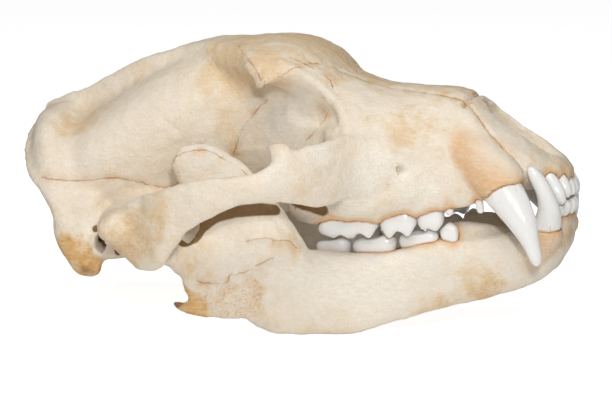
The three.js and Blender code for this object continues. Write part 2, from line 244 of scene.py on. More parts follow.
def stroke(piece, path, width, height):
    co = points(piece)
    amount = falloff(distanceTo(rightSide(co), surfaceLine(treeOf([piece]), path)), width) * height
    setPoints(piece, co + normals(piece) * amount[:, None])


def weather(piece, size, height, seed):
    co = points(piece)
    nor = normals(piece)
    shift = Vector((seed, seed * 2.3, seed * 0.7))
    lumps = np.array([noise.noise(Vector(p) / size + shift) for p in co])
    setPoints(piece, co + nor * (lumps * height)[:, None])


def layer(piece, name, values):
    store = piece.data.attributes.new(name, "FLOAT", "POINT")
    store.data.foreach_set("value", np.asarray(values, np.float32))


# How far each point lies to the left of the nearest line, along the surface, and how near it is.
def lineSides(co, nor, paths, reach):
    best = np.full(len(co), 1e6)
    sideways = np.zeros(len(co))
    for path in paths:
        path = np.array(path, float)
        for a, b in zip(path[:-1], path[1:]):
            along = b - a
            s = np.clip((co - a) @ along / (along @ along), 0, 1)
            offset = co - a - s[:, None] * along
            far = np.linalg.norm(offset, axis=1)
            across = np.cross(nor, along)
            across /= np.maximum(np.linalg.norm(across, axis=1), 1e-6)[:, None]
            closer = far < best
            best = np.where(closer, far, best)
            sideways = np.where(closer, np.sum(offset * across, axis=1), sideways)
    return np.clip(sideways, -reach, reach), falloff(best, reach)


def spots(co, centres):
    total = np.zeros(len(co))
    for x, y, z, radius, strength in centres:
        far = np.linalg.norm(co - np.array((x, y, z)), axis=1)
        total += strength * np.clip(1 - (far / radius) ** 2, 0, 1)
    return np.clip(total, 0, 1)


def gapTo(tree, co, reach):
    found = [tree.find_nearest(Vector(point), reach)[3] for point in co]
    return np.array([reach if gap is None else gap for gap in found])


def treeOf(pieces):
    bm = bmesh.new()
    for piece in pieces:
        bm.from_mesh(piece.data)
    tree = BVHTree.FromBMesh(bm)
    bm.free()
    return tree


# How far the stains reach, in millimetres, and the rounds and depth that tell a hollow
reaches = {"seam": 6, "gum": 9, "toothGum": 12, "hollowRounds": 40, "hollowDepth": 2.2}


def stainAndShadeBone(piece, spec, teeth):
    co = points(piece)
    nor = normals(piece)
    folded = rightSide(co)
    foldedNormals = nor.copy()
    foldedNormals[:, 1] = np.where(co[:, 1] > 0, -nor[:, 1], nor[:, 1])
    for name, centres in spec["tints"].items():
        layer(piece, name, spots(folded, centres))
    tree = treeOf([piece])
    seams = [surfaceLine(tree, boneLines[line]) for line in spec["seams"]]
    across, near = lineSides(folded, foldedNormals, seams, reaches["seam"])
    layer(piece, "seamAcross", across)
    layer(piece, "seamNear", near)
    # Painted shadow: bands along the shadow lines, darkened in the colour for the cast shadow under the
    # cheek arch, above the back molars and behind the ear
    shadow = [falloff(distanceTo(folded, surfaceLine(tree, boneLines[line])), width)
              for line, width in spec["shadows"].items()]
    layer(piece, "shadow", np.max(shadow, axis=0))
    layer(piece, "hollow", hollowness(piece, reaches["hollowRounds"], reaches["hollowDepth"]))
    layer(piece, "gum", gapTo(treeOf(teeth), co, reaches["gum"]))


# Neighbouring teeth are cut in two turns, so that their widened roots don't meet.
def cutSockets(piece, teeth, gap):
    for start in (0, 1):
        bm = bmesh.new()
        for tooth in teeth[start::2]:
            bm.from_mesh(tooth.data)
        cutter = makePiece("sockets", bm)
        swell(cutter, gap)
        cut(piece, cutter)


# Takes out the triangles that show least until at most this many are left.
def thin(piece, most):
    count = sum(len(face.vertices) - 2 for face in piece.data.polygons)
    change = piece.modifiers.new("thin", "DECIMATE")
    change.ratio = min(1.0, most / count)
    applyAll(piece)
    print(piece.name, count, "thinned to", len(piece.data.polygons))


def placeMesh(piece, node, material):
    co = points(piece)
    co[:, 0] += skull["forward"]
    setPoints(piece, co * skull["metres"])
    piece.data.polygons.foreach_set("use_smooth", np.ones(len(piece.data.polygons), bool))
    piece.data.set_sharp_from_angle(angle=math.radians(skull["sharpAngle"]))
    piece.data.materials.clear()
    piece.data.materials.append(material)
    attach(piece, "root")
    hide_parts(node)


# Lines on the bone, for strokes, seams and painted shadows
boneLines = {
    "eyeRim": [(0, -48, 161), (8, -46, 157), (15, -45, 153), (23, -44, 148), (29, -44, 144),
               (34, -47, 137), (39, -52, 130), (41, -57, 124), (39, -63, 118), (33, -71, 114),
               (26, -77, 114), (20, -80, 115)],
    "browRidge": [(-7, -56, 145), (-12, -46, 141), (-15, -39, 136), (-22, -34, 127), (-29, -32, 118),
                  (-34, -32, 106)],
    "templeLine": [(-9, -53, 150), (-16, -46, 160), (-28, -36, 166), (-46, -22, 168), (-70, -8, 166)],
    "templeSuture": [(-145, -58, 87), (-134, -54, 85), (-122, -51, 86), (-107, -50, 88), (-93, -47, 86),
                     (-82, -43, 83), (-75, -40, 82), (-58, -40, 80)],
    "slantSuture": [(-88, -38, 132), (-75, -43, 124), (-67, -42, 117), (-62, -41, 109)],
    "noseSuture": [(14, -34, 158), (24, -20, 154), (39, -14, 149), (56, -14, 145), (71, -15, 141),
                   (90, -17, 137), (104, -17, 136)],
    "muzzleSuture": [(103, -17, 135), (113, -24, 127), (122, -28, 118), (132, -31, 109), (142, -33, 103)],
    "noseNotch": [(103, -20, 134), (104, -12, 137), (104.6, -4, 138.6), (104.6, 0, 138.8)],
    "tearLine": [(5, -40, 161), (16, -36, 155), (25, -33, 148), (28, -36, 140), (27, -37, 131),
                 (22, -37, 123), (14, -36, 115)],
    "browLine": [(-31, -30, 165), (-18, -49, 159), (-11, -55, 152)],
    "spikeEdge": [(-5, -58, 136), (-2, -55, 146), (4, -50, 154), (10, -46, 158)],
    "archShadow": [(-52, -69, 58), (-47, -69, 61), (-39, -69, 66), (-32, -69, 69.6), (-23, -68, 72.6),
                   (-13, -66, 75), (-4, -64, 76.6), (6, -62, 78.4)],
    "lobeEdge": [(-55, -66, 89), (-58, -66, 96), (-59, -66, 103), (-55, -66, 107), (-46, -66, 110),
                 (-36, -66, 110), (-26, -66, 107), (-15, -66, 100)],
    "molarShadow": [(6, -38, 78), (14, -43, 76), (24, -47, 74)],
    "middleSuture": [(-10, 0, 174), (10, 0, 171), (34, 0, 157), (60, 0, 148), (88, 0, 146), (106, 0, 142)],
    "jawRidge": [(-41, -68, 35), (-33, -68, 34), (-26, -68, 35), (-18, -68, 38), (-11, -68, 41),
                 (0, -68, 47)],
    "bladeFront": [(3, -68, 78), (9, -68, 71), (14, -66, 63), (19, -66, 55), (23, -66, 46)],
    "bladeRidge": [(-13, -68, 58), (-6, -68, 59), (1, -68, 59), (8, -66, 57), (14, -66, 55)],
    "lowRidge": [(14, -66, 37), (11, -66, 31), (4, -66, 26)],
    "earShadow": [(-111, -62, 58), (-106, -62, 53), (-99, -62, 47), (-94, -62, 43)],
}


# The cranium

cranium = {
    "grain": 1.4, "joinRound": 2.2, "mostTriangles": 190000, "relaxRounds": 6, "softRounds": 40,
    "waves": ((22, 1.0, 1), (6, 0.5, 4)),  # size, height and seed
    "soft": [(14, -44, 146, 20, 1.0), (-24, -30, 150, 16, 0.8), (-125, -14, 134, 30, 0.9),
             (-148, -16, 112, 20, 0.7), (-144, -36, 100, 28, 0.9), (-136, -50, 76, 20, 0.8),
             (-168, 0, 122, 14, 0.7)],
    "strokes": {"eyeRim": (5, 1.2), "browRidge": (5, 1.4), "templeLine": (6, 0.8),
                "templeSuture": (2.2, -0.5), "slantSuture": (2.2, -0.4), "noseSuture": (2.2, -0.5),
                "muzzleSuture": (2.2, -0.6), "middleSuture": (2.2, -0.4),
                "noseNotch": (3.2, -2.0)},
    "seams": ["templeSuture", "noseSuture", "muzzleSuture", "middleSuture", "tearLine", "browLine",
              "browRidge", "noseNotch", "spikeEdge"],
    # Painted shadow lines, above the back molars and behind the ear, with their widths
    "shadows": {"molarShadow": 4.6, "earShadow": 3},
    "tints": {
        # Honey patches are stain, except those on the temple behind the brow and in the valley under the
        # back crest, which are painted shade
        "honeyStainAndShade": [(-20, -10, 172, 44, 0.7), (20, -10, 160, 34, 0.9), (-4, -46, 158, 20, 0.8),
                  (-34, -30, 150, 30, 0.7), (60, -8, 147, 30, 0.45), (96, -8, 140, 24, 0.5),
                  (75, -38, 130, 20, 0.6), (68, -42, 116, 14, 0.5), (125, -38, 98, 15, 0.32),
                  (-85, -92, 60, 26, 0.8), (-60, -97, 68, 24, 0.7), (28, -80, 92, 16, 0.3),
                  (-168, -10, 114, 22, 0.7), (-160, -40, 96, 14, 0.5), (-140, -58, 66, 18, 0.5),
                  (-110, -12, 146, 22, 0.45), (-132, -30, 122, 26, 0.7), (-150, -30, 108, 18, 0.35),
                  (-30, -34, 116, 20, 0.5), (96, -42, 112, 22, 0.35), (150, -20, 104, 16, 0.4)],
        "amber": [(-122, -66, 42, 20, 1.0), (-116, -64, 33, 14, 1.0), (-130, -60, 48, 12, 0.5),
                  (-174, 0, 118, 10, 0.4)],
        "rust": [(-97, -84, 62, 12, 0.9), (-76, -98, 56, 22, 0.8), (12, -90, 117, 7, 0.8),
                 (66, -46, 94, 10, 0.6), (-46, -99, 82, 10, 0.5), (104, -40, 90, 12, 0.5),
                 (26, -36, 136, 12, 0.6), (50, -42, 128, 12, 0.4)],
        "pale": [(62, -48, 103, 20, 1.0), (36, -48, 92, 26, 0.9), (40, -45, 78, 24, 0.8),
                 (84, -40, 92, 18, 0.6), (-122, -54, 100, 22, 0.4), (-112, -66, 55, 14, 0.8),
                 (8, -90, 100, 16, 0.7), (125, -20, 122, 20, 0.5), (30, -74, 116, 16, 0.8),
                 (2, -37, 128, 30, 0.8), (80, -38, 82, 18, 0.5), (-140, -50, 76, 22, 0.5)],
        # Umber patches: painted shade in the recess inside the jaw joint and at the ear hole, and a dark
        # stain at the foot of the bone behind the ear
        "darkShadeAndStain": [(-64, -50, 57, 12, 1.0), (-52, -50, 61, 12, 1.0), (-116, -66, 33, 8, 0.4),
                 (-104, -56, 52, 9, 0.7)],
        "grey": [(-105, -66, 52, 8, 1.0), (-70, -96, 58, 20, 0.4), (-90, -86, 66, 14, 0.4),
                 (-152, -44, 84, 14, 0.4)],
    },
}


def craniumForms(bm):
    addLimb(bm, [  # braincase
        (-158, 0, 88), (-148, 0, 88, 28, 34, 43), (-128, 0, 90, 38, 46, 52.5), (-106, 0, 95, 46.5, 48, 51),
        (-84, 0, 102, 51.5, 50, 47), (-62, 0, 108, 54, 48, 41), (-42, 0, 114, 52, 44, 35),
        (-20, 0, 118, 50, 42, 33), (4, 0, 118, 46, 42, 36), (30, 0, 114, 36, 40, 40), (52, 0, 110)],
        power=2.1, axis=lengthwise, both=False, around=48)
    addLimb(bm, [  # back plate
        (-168, 0, 106), (-165, 0, 106, 20, 14, 34), (-159, 0, 100, 28, 24, 48), (-149, 0, 90, 38, 34, 58),
        (-136, 0, 80, 34, 38, 60), (-120, 0, 72, 18, 28, 50), (-106, 0, 70)],
        power=2.2, axis=lengthwise, both=False, around=48)
    addLimb(bm, [  # muzzle and cheeks
        (20, 0, 110), (32, 0, 110, 42, 32, 51), (44, 0, 107, 41, 25, 53), (56, 0, 104, 42, 22, 47.5),
        (72, 0, 101, 44, 17, 42.5), (90, 0, 99, 46, 14, 39), (106, 0, 98, 42, 14, 38),
        (120, 0, 98, 32, 14, 37), (134, 0, 98, 22.4, 13, 34), (146, 0, 98, 14, 11, 28),
        (155, 0, 97.5, 9, 9, 20), (161, 0, 97)],
        power=2.2, axis=lengthwise, both=False, around=48)
    addLimb(bm, [  # forehead
        (-96, 0, 150), (-76, 0, 155, 11, 11, 9), (-57, 0, 157.5, 13, 12, 19), (-38, 0, 157, 15, 14, 32),
        (-22, 0, 155, 18, 14, 45), (-8, 0, 153, 20.5, 12, 51), (4, 0, 150, 21, 12, 51),
        (18, 0, 141, 23, 13, 46), (32, 0, 132, 20, 14, 38), (50, 0, 124)],
        power=2.05, axis=lengthwise, both=False, around=40)
    addLimb(bm, [  # spike over the eye
        (-14, -34, 161), (-12, -43, 158.6, 11, 13, 4), (-9.6, -50, 152, 7.6, 8, 2.6),
        (-6.4, -55.6, 142, 4, 4.2, 1.9), (-4.6, -58.4, 132.6)], tallWay=lengthwise)
    addLimb(bm, [  # crest along the top
        (-174.6, 0, 118), (-168, 0, 116.6, 14, 14, 4), (-146, 0, 124, 13.4, 22, 5),
        (-124, 0, 137, 11.4, 22, 5.6), (-98, 0, 149, 10, 16, 7), (-70, 0, 157, 9, 10, 9), (-46, 0, 160)],
        axis=lengthwise, both=False)
    addLimb(bm, [  # crest round the back
        (-164, 8, 117), (-167, -12, 112, 7.6, 13, 4.4), (-164, -30, 103, 8, 15, 4.2),
        (-157, -46, 93, 8, 15, 4.2), (-146, -55, 83, 6.4, 13, 4.4), (-137, -60, 72, 5.6, 12, 5),
        (-131, -62, 60, 6, 10, 6), (-122, -62, 52)],
        tallWay=Vector((-1, -0.35, 0.2)))
    addLimb(bm, [  # behind the ear
        (-126, -50, 82), (-126, -56, 68, 15, 14, 8.4), (-124.6, -59.4, 57, 13.4, 15.6, 8.4),
        (-121.6, -61.4, 46, 12.2, 13.6, 7.8), (-118.6, -61.4, 36.6, 9.4, 10.4, 6.2), (-116, -60.6, 28.6)],
        power=2.3, tallWay=lengthwise, axis=upright)
    addLimb(bm, [  # bony tube of the ear
        (-98, -34, 51), (-102, -46, 50, 11, 11, 12), (-105, -58, 49.6, 9.4, 9.6, 10),
        (-107, -66, 50.4, 7.4, 7.6, 8), (-108, -70, 51)])
    addBall(bm, (-143, -20, 53), (12, 13.5, 15.5))  # knuckle for the neck
    addBall(bm, (-93, -34, 50), (20, 17, 9))  # capsule of the ear
    addLimb(bm, [  # shelf over the jaw joint
        (-86, -30, 68), (-85, -50, 65, 14, 10, 22), (-84, -70, 63, 13, 9.6, 22), (-82, -86, 63, 12, 9, 17),
        (-78, -94, 64)], power=2.2)
    addLimb(bm, [  # lip behind the jaw joint
        (-78, -38, 54), (-78, -54, 47, 9, 12, 5.2), (-78, -72, 47, 9, 10, 5.2), (-80, -86, 55)])
    addLimb(bm, [  # cheek arch
        (-106, -68, 64), (-98, -76, 63.4, 6, 6.6, 5), (-90, -81.5, 62.6, 11, 12, 5.8),
        (-80, -86.5, 62.4, 17.4, 18, 6.4), (-68, -90, 63.6, 21.4, 23.4, 6.2),
        (-57, -95.5, 70, 19, 18.6, 5.4), (-47, -98.6, 77, 15, 14.6, 4.8),
        (-32, -100.4, 85, 12.2, 12.6, 4.4), (-12, -99.6, 91, 8.6, 9.8, 4.4), (4, -95, 93, 9.6, 9, 4.6),
        (18, -85, 96, 15, 13.6, 5.2), (31, -70, 97, 19, 17.6, 7), (43, -53.5, 98, 21, 15, 8),
        (57, -44, 99, 20, 18, 8.4), (84, -33, 99)], power=2.4, around=32)
    addLimb(bm, [  # spike on the cheek arch
        (22, -83, 98), (14, -86, 108, 7.6, 7.6, 4.2), (11, -84.8, 116, 6.8, 6.4, 4), (11, -84, 121.5)],
        tallWay=lengthwise)
    addLimb(bm, [  # ridge that holds the cheek teeth
        (2, -31, 80), (14, -33.6, 76, 12, 12.4, 8.4), (36, -35.4, 84, 18, 21, 9.8),
        (58, -35, 88, 18, 21.6, 9.6), (80, -32.6, 92, 18, 20.4, 8.6), (102, -31, 95, 16, 18.4, 7),
        (124, -31, 97)], power=3.4, around=40)
    addLimb(bm, [  # bulge over the cheek teeth
        (26, -38, 82), (38, -44, 82, 13, 11, 6.4), (52, -44, 84, 15, 13, 7), (68, -40.6, 88, 15, 13, 7),
        (88, -36, 92)], power=2.4)
    addLimb(bm, [  # swelling over the canine's root
        (94, -21, 123), (110, -29, 109.6, 13.6, 13, 10), (124, -33.4, 96, 15, 13.6, 10.4),
        (129, -35, 90, 14.4, 13, 10.2), (132, -36, 85.6)],
        tallWay=lengthwise, around=32)
    addLimb(bm, [  # wing behind the palate
        (24, -22, 82), (4, -19, 78, 10, 9, 4.6), (-18, -17, 74, 11, 10, 3.2), (-40, -16, 67, 12, 13, 3),
        (-60, -17, 57, 9, 9, 3), (-76, -18, 51)])
    addLimb(bm, [  # shelf that holds the incisors
        (134, 0, 99), (146, 0, 98, 8, 10, 25), (154, 0, 97, 7.6, 8.8, 20.5), (160, 0, 96, 5.4, 6.4, 13.5),
        (164.4, 0, 95)], power=2.3, axis=lengthwise, both=False, around=40)


def craniumHollows(bm):
    addBall(bm, (8, -64, 131), (34, 31, 20.5))  # eye socket, from two balls
    addBall(bm, (14, -64, 138), (22, 23, 19))
    addLimb(bm, [  # nose
        (70, 0, 118), (92, 0, 118, 12, 11, 9.4), (108, 0, 120, 15.6, 15, 10), (126, 0, 122, 20, 18, 11.6),
        (146, 0, 122, 22, 18, 10.6), (176, 0, 122)], power=2.3, axis=lengthwise, both=False, around=36)
    addLimb(bm, [  # braincase
        (-152, 0, 76), (-139, 0, 83, 32, 31, 39), (-118, 0, 90, 43, 41, 47), (-84, 0, 100, 46, 41, 42),
        (-56, 0, 110, 47, 38, 34), (-32, 0, 116, 44, 26, 26), (-8, 0, 122)],
        axis=lengthwise, both=False, around=32, perStation=4)
    addLimb(bm, [  # windpipe
        (20, 0, 84), (4, 0, 81, 7.6, 14, 13), (-18, 0, 75, 7, 16, 11.4), (-48, 0, 59)],
        power=2.5, both=False)
    addBall(bm, (-186, 0, 84), (30, 49, 34), both=False)  # dip at the back
    addBall(bm, (-152, 0, 64), (30, 14, 13.6), both=False)  # spinal hole
    addLimb(bm, [(-110, -78, 51), (-105, -64, 52, 6.4, 6.4, 4.4), (-102, -48, 56)])  # ear hole
    addLimb(bm, [  # hole in the cheek
        (94, -49.5, 94), (77, -46, 98, 3.4, 3.4, 2), (60, -41.6, 102, 3.4, 3.4, 2), (42, -34, 108)])
    addLimb(bm, [  # seat of the jaw joint
        (-60, -38, 46), (-60, -50, 47, 10.6, 10.6, 10.6), (-60, -76, 48, 10.6, 10.6, 10.6),
        (-60, -84.6, 48)])


# The lower jaw

jaw = {
    "grain": 1.2, "joinRound": 1.6, "relaxRounds": 6, "softRounds": 40,
    "waves": ((18, 0.8, 7), (5, 0.4, 9)),  # size, height and seed
    "strokes": {"jawRidge": (4, 1.8), "bladeFront": (4.4, 1.6), "bladeRidge": (3.4, 1.0),
                "lowRidge": (3.4, 0.8)},
    "soft": [(-20, -62, 62, 40, 0.9)],
    # Painted shadow: the band that the cheek arch casts on the jaw's blade
    "seams": ["lobeEdge", "jawRidge", "bladeRidge"], "shadows": {"archShadow": 4.6},
    "tints": {
        "honeyStainAndShade": [(118, -30, 34, 22, 0.7), (150, -24, 52, 20, 0.6), (90, -36, 18, 18, 0.5),
                  (-30, -66, 88, 22, 0.35), (-40, -66, 40, 22, 0.45), (-10, -62, 14, 22, 0.4),
                  (30, -48, 6, 20, 0.35), (104, -26, 60, 16, 0.4), (6, -56, 52, 14, 0.4),
                  (160, -10, 60, 16, 0.5)],
        "amber": [(-50, -73, 17, 14, 1.0), (-58, -73, 18, 16, 1.0), (-42, -70, 14, 14, 0.8)],
        "rust": [(-57, -73, 18, 10, 1.0), (-32, -70, 20, 18, 1.0), (-14, -68, 22, 14, 0.9),
                 (-10, -66, 32, 14, 0.8), (-20, -68, 18, 14, 0.8), (122, -32, 30, 16, 0.8),
                 (100, -36, 20, 14, 0.6), (156, -22, 52, 14, 0.8), (164, -8, 58, 12, 0.7),
                 (-44, -66, 42, 12, 0.6)],
        "pale": [(60, -42, 30, 44, 0.7), (-20, -62, 100, 24, 0.5), (0, -60, 50, 24, 0.5),
                 (24, -48, 36, 26, 0.6), (130, -28, 44, 20, 0.4)],
        # Umber patch at the tip of the hook
        "darkShadeAndStain": [(-60, -75, 21, 7, 1.0), (-55, -72, 19, 4, 0.7)],
        "grey": [(55, -38, 44, 11, 0.9), (76, -34, 47, 10, 0.8), (40, -40, 44, 10, 0.5),
                 (-8, -56, 6, 14, 0.9)],
    },
}


def jawForms(bm):
    addLimb(bm, [  # body
        (-28, -62, 33), (-8, -58.4, 26, 21, 22, 7), (0, -54.6, 24, 23.6, 23.4, 8.8),
        (20, -46, 24, 26, 24, 10.4), (42, -39.5, 24.6, 24, 23.6, 10.8), (66, -34, 31, 20, 22.8, 10.8),
        (88, -29.4, 37, 20.6, 21.8, 10.2), (113, -23.4, 42.4, 17, 20.8, 9.8),
        (138, -15.4, 48.6, 17.4, 19.4, 10.4), (152, -10.6, 54, 16, 17.2, 11), (160, -7, 60, 12.4, 13, 9.6),
        (165, -3, 66)], axis=lengthwise, power=2.6, around=36)
    addLimb(bm, [  # inner lip of the toothless stretch
        (90, -25, 54), (99, -22, 60.6, 6.4, 9, 5), (110, -19, 61.6, 6, 9, 5), (124, -15, 59.6, 5, 8, 5),
        (138, -12, 58)])
    addLimb(bm, [  # chin
        (104, 0, 46), (118, 0, 46, 15, 16, 14), (134, 0, 50, 15, 18, 16), (151, 0, 56, 15, 17.2, 15),
        (160, 0, 63, 10, 12, 11), (165.4, 0, 68)], axis=lengthwise, power=2.3, both=False, around=36)
    addLimb(bm, [  # seat of the canine
        (124, -15, 38), (141, -18, 50, 11.4, 11.4, 9.6), (152.4, -22.6, 63.6, 10.6, 10.6, 9.2),
        (154, -23.6, 69)], tallWay=lengthwise)
    addLimb(bm, [  # upright blade
        (-46, -59, 112.4), (-44.6, -59.4, 108.4, 12.5, 14, 2.7), (-40, -60, 101.5, 20, 22.4, 3.5),
        (-32.4, -60, 90, 25.4, 26.4, 4.4), (-23, -60, 77, 26.5, 25, 5.2), (-19, -60, 64, 31, 27, 6),
        (-16, -60, 52, 35, 36, 6.4), (-16, -60.4, 42, 34, 38, 6.4), (-17, -61.4, 30, 29, 38, 6.2),
        (-19, -62.6, 20, 25, 30, 5.8), (-20, -63.4, 13, 20, 24, 4.4), (-20, -63.6, 10.4)],
        tallWay=bladeWay, axis=upright, power=2.2, around=40)
    addLimb(bm, [  # joint
        (-60, -40, 46.5), (-60, -50, 47.4, 9, 9, 9), (-60, -68, 48, 8.8, 8.8, 8.8),
        (-60, -76, 48.4, 6.4, 6.4, 6.4), (-60, -81, 49)])
    addLimb(bm, [  # neck of the joint
        (-62, -66, 46), (-52, -65, 44, 8, 11, 10), (-38, -63.6, 44, 13, 14, 7), (-24, -62, 46)])
    addLimb(bm, [  # hook
        (-24, -65, 18), (-40, -68.6, 16.4, 7, 6, 4.4), (-50, -71, 15.8, 3.8, 3.2, 3.2),
        (-55, -72.4, 17.4, 2.4, 2.2, 2.4), (-59, -73.8, 20)])


def jawHollows(bm):
    addBall(bm, (-20, -78, 66), (32, 15.4, 24), turn=-12)  # hollow for the chewing muscle


def shapeBone(piece, spec):
    remesh(piece, spec["grain"])
    relax(piece, spec["relaxRounds"])
    soften(piece, spec["soft"], spec["softRounds"])
    for line, (width, height) in spec["strokes"].items():
        stroke(piece, boneLines[line], width, height)
    for size, height, seed in spec["waves"]:
        weather(piece, size, height, seed)
    return piece


def solidOf(name, addForms):
    bm = bmesh.new()
    addForms(bm)
    return makePiece(name, bm)


def craniumBone():
    piece = solidOf("skullBone", craniumForms)
    remesh(piece, cranium["grain"])
    fillet(piece, cranium["joinRound"], cranium["grain"])
    hollows = solidOf("skullHollows", craniumHollows)
    remesh(hollows, cranium["grain"])
    cut(piece, hollows)
    return shapeBone(piece, cranium)


def jawBone():
    piece = solidOf("jawBone", jawForms)
    remesh(piece, jaw["grain"])
    fillet(piece, jaw["joinRound"], jaw["grain"])
    cut(piece, solidOf("jawHollows", jawHollows))
    return shapeBone(piece, jaw)


# Teeth

slimTeeth = {
    "upper_incisor_1": [(147, -3.3, 101), (156, -3.6, 96.6, 4, 4, 2.6), (161.4, -4, 89.6, 3.8, 3.8, 3.4),
                        (164.6, -4.2, 83.4)],
    "upper_incisor_2": [(145.6, -9.4, 101), (154.6, -11, 96.6, 4.4, 4.4, 2.8),
                        (160.4, -12.2, 89.4, 4.1, 4.1, 3.6), (163.4, -12.8, 83)],
    "upper_incisor_3": [(143, -15, 101), (152.4, -18.6, 94, 5, 5, 3.8), (158, -20.4, 87.6, 4.4, 4.4, 3.8),
                        (162, -21, 80)],
    "upper_canine": [(96, -24, 122), (110, -30.5, 108, 10, 10, 7), (129, -36, 89, 11.8, 11, 8.6),
                     (142, -40, 71.5, 8.8, 7.8, 6.8), (149, -42.6, 57, 4.8, 4.2, 4), (152.6, -44, 47.2)],
    "upper_premolar_1": [(114.6, -33, 88), (115.6, -33.4, 81, 2.4, 2.4, 2),
                         (116.4, -33.8, 77.4, 2.3, 2.3, 2), (116.8, -34, 74.6)],
    "upper_premolar_3": [(96.6, -32.6, 86), (97.4, -33, 79, 2.6, 2.6, 2.2),
                         (98, -33.4, 75.4, 2.5, 2.5, 2.2), (98.2, -33.6, 72.4)],
    "lower_incisor_1": [(152, -2.8, 62), (159, -3.1, 70.6, 3.4, 3.4, 2.4), (163, -3.5, 77, 3.1, 3.1, 2.8),
                        (164.6, -3.6, 81.8)],
    "lower_incisor_2": [(150, -8, 62), (157, -9, 70.6, 3.6, 3.6, 2.5), (161.4, -10, 76.8, 3.3, 3.3, 3),
                        (163, -10.4, 81.6)],
    "lower_incisor_3": [(147.4, -12.4, 62), (154.6, -14.2, 70.4, 3.6, 3.6, 2.5),
                        (158.6, -16, 76, 3.4, 3.4, 2.8), (160, -16.6, 80)],
    "lower_canine": [(128, -16, 38), (141, -18.6, 48, 7, 7, 5.4), (151.6, -23.4, 64, 8.6, 8.6, 7),
                     (155.2, -28, 77, 6.8, 6.8, 5.8), (152.6, -32.4, 90, 4.8, 4.8, 4.4),
                     (144.8, -36.4, 103.6)],
}

# Cheek teeth: the crown's centre at the gum, its length, width and height, and its cusps
# as along, outwards and rise.
cheekTeeth = {
    "upper_premolar_4": ((85.8, -31.5, 75), (15.6, 11.5, 8.5),
                         ((2.5, 2.5, 4), (-4.5, 2, 2.5), (-3, -3, 1))),
    "upper_molar_1": ((67.4, -34, 71.5), (21.4, 16, 8),
                      ((5.6, 5, 4.6), (-5.4, 5, 4.4), (5, -4.5, 1), (-5, -4.5, 1))),
    "upper_molar_2": ((37.6, -35, 67.4), (36.6, 17, 7.2),
                      ((12.5, 5, 4.6), (1.5, 5, 4), (-9, 4.5, 2), (8, -4.5, 0.8), (-6, -4.5, 0.6))),
    "lower_premolar_4": ((97.4, -28.8, 58.8), (10.4, 7.4, 5.6), ((0.6, 0, 4),)),
    "lower_molar_1": ((79.6, -29.6, 53.8), (23.6, 10.4, 6.2),
                      ((7.5, 0, 3), (0, -1, 2.6), (-7, 1, 1.6), (-7, -2, 1.6))),
    "lower_molar_2": ((53.2, -31, 49.4), (26.2, 13, 7.4),
                      ((7, 2, 1.6), (7, -3, 1.6), (-6, 2, 1.2), (-6, -3, 1.2))),
    "lower_molar_3": ((28.2, -31.4, 48), (20.6, 12.4, 6.8), ((5, 0, 1), (-4, 0, 0.6))),
}
cheekRow = {"slope": 8.6, "root": 9, "cuspLong": 3.6, "cuspWide": 3.2, "power": 2.9, "rings": 30}
# Where the enamel ends and the root shows, by height from the table
bareRoots = {"lower_canine": {"top": 72, "fade": 8}, "others": {"top": 0, "fade": 1}}


def slimTooth(stations, side):
    bm = bmesh.new()
    addLimb(bm, stations, tallWay=lengthwise, both=False, around=24, perStation=8)
    bmesh.ops.transform(bm, matrix=Matrix.Diagonal((1, -side, 1, 1)), verts=bm.verts)
    return bm


def cuspRise(x, y, cusps):
    rise = 0
    for along, out, high in cusps:
        far = ((x - along) / cheekRow["cuspLong"]) ** 2
        rise += high * math.exp(-far - ((y + out) / cheekRow["cuspWide"]) ** 2)
    return rise


def cheekTooth(spec, flip, side):
    (x0, y0, z0), (long, wide, high), cusps = spec
    heights = [-cheekRow["root"], -0.7 * cheekRow["root"], 0.2 * high, 0.8 * high, high, high - 0.8]
    girth = [0, 0.72, 1, 0.97, 0.7, 0]
    rows = [np.array((h, g)) for h, g in zip(heights, girth)]
    last = len(rows) - 1
    bm = bmesh.new()
    bmesh.ops.create_uvsphere(bm, u_segments=40, v_segments=cheekRow["rings"], radius=1.0)
    for vert in bm.verts:
        u = last * math.acos(max(-1.0, min(1.0, -vert.co.z))) / math.pi
        z, spread = splineAt(rows, u)
        angle = math.atan2(vert.co.y, vert.co.x)
        x = squarer(math.cos(angle), cheekRow["power"]) * 0.5 * long * max(spread, 0)
        y = squarer(math.sin(angle), cheekRow["power"]) * 0.5 * wide * max(spread, 0)
        if u > 2:
            z += cuspRise(x, y, cusps) * min(1, u - 2)
        vert.co = (x, y, z * flip)
    seat = Matrix.Translation((x0, y0, z0)) @ Matrix.Rotation(-math.radians(cheekRow["slope"]), 4, "Y")
    bmesh.ops.transform(bm, matrix=Matrix.Diagonal((1, -side, 1, 1)) @ seat, verts=bm.verts)
    return bm


# Materials

def feed(tree, socket, value):
    if isinstance(value, bpy.types.NodeSocket):
        tree.links.new(value, socket)
    else:
        socket.default_value = value


def addNode(tree, kind, sockets, **settings):
    node = tree.nodes.new("ShaderNode" + kind)
    for name, value in settings.items():
        setattr(node, name, value)
    for name, value in sockets.items():
        feed(tree, node.inputs[name], value)
    return node


def sums(tree, operation, a, b=0.0):
    return addNode(tree, "Math", {0: a, 1: b}, operation=operation).outputs[0]


def step(tree, value, low, high, top=1.0):
    spread = {"Value": value, "From Min": low, "From Max": high, "To Max": top}
    return addNode(tree, "MapRange", spread, interpolation_type="SMOOTHSTEP").outputs[0]


def blend(tree, amount, a, b):
    node = tree.nodes.new("ShaderNodeMix")
    node.data_type = "RGBA"
    feed(tree, node.inputs[0], amount)
    feed(tree, node.inputs[6], a)
    feed(tree, node.inputs[7], b)
    return node.outputs[2]


def attribute(tree, name):
    return addNode(tree, "Attribute", {}, attribute_name=name).outputs["Fac"]


